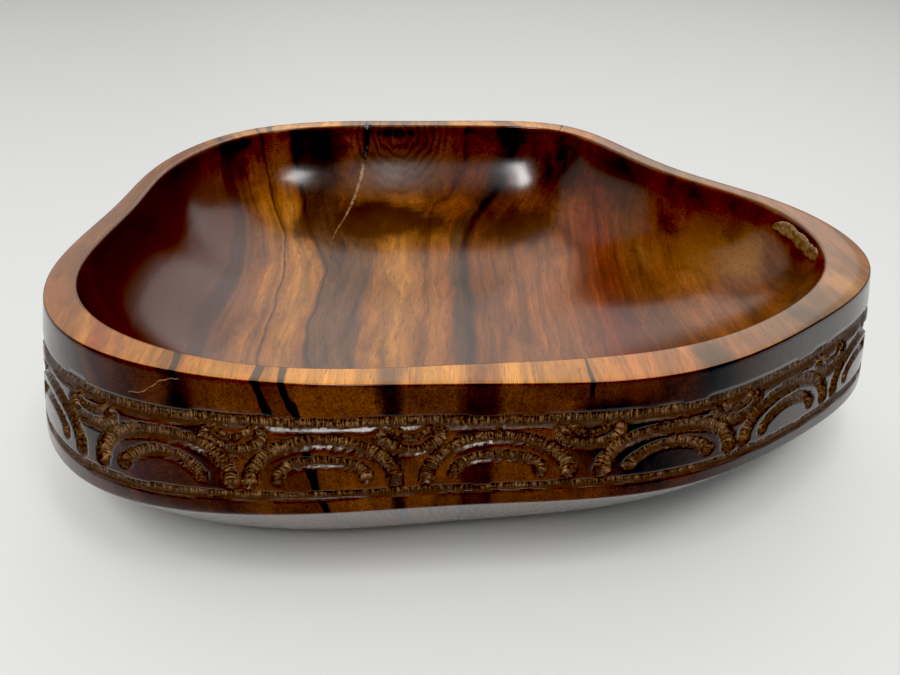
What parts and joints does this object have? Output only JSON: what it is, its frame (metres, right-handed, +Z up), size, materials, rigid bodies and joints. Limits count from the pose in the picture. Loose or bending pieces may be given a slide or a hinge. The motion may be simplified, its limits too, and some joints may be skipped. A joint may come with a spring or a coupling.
{
  "type": "carved wooden bowl",
  "caption": "Free-form carved hardwood bowl with a flat rim, a band of incised arches round the wall and a wide flat foot; cracks and a void are filled.",
  "frame": {"origin": "bottom centre of the bounding box: the foot rests on z = 0", "axes": "+Z up; +X along the longest side, towards the pointed corner of the plan; -Y towards the side seen in front"},
  "size_m": [0.35, 0.3114, 0.086],
  "materials": {
    "polished_wood": "figured red-brown hardwood with near-black streaks, under a high-gloss clear lacquer",
    "tan_filler": "fine-grained tan wood-dust filler, satin",
    "dark_resin": "near-black resin, polished flush",
    "gold_filler": "golden wood-dust filler, polished flush",
    "pale_filler": "pale wood-dust filler, polished flush"
  },
  "bodies": {
    "root": {"bowl_body": "polished_wood", "void_fill": "tan_filler", "crack_fill_upper": "dark_resin", "crack_fill_lower": "gold_filler", "hairline_fill": "pale_filler"}
  },
  "joints": []
}
